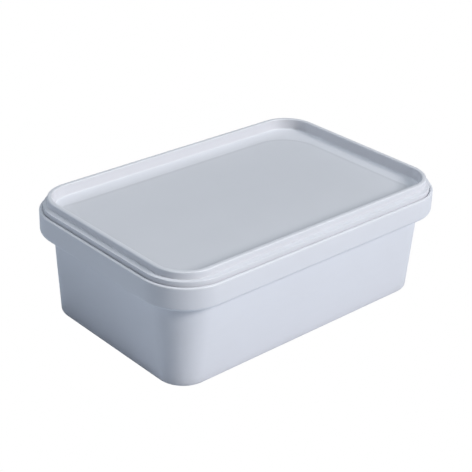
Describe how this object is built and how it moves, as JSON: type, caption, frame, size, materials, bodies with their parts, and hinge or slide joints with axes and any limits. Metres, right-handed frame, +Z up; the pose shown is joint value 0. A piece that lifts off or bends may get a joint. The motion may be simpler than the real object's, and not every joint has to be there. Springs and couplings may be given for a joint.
{
  "type": "ice cream tub",
  "caption": "Shut rectangular ice cream tub of white plastic: drafted walls with round corners, a deep collar, and a press-on lid with a raised rim round a sunken panel.",
  "frame": {"origin": "centre of the base, where the tub rests", "axes": "+X along the tub's long side, +Y along its short side, +Z up through the lid"},
  "size_m": [0.184, 0.1216, 0.0637],
  "materials": {
    "tub_plastic": "satin white moulded plastic",
    "lid_plastic": "satin white moulded plastic, with a finely grained panel"
  },
  "bodies": {
    "root": {"tub": "tub_plastic", "lid": "lid_plastic"}
  },
  "joints": []
}
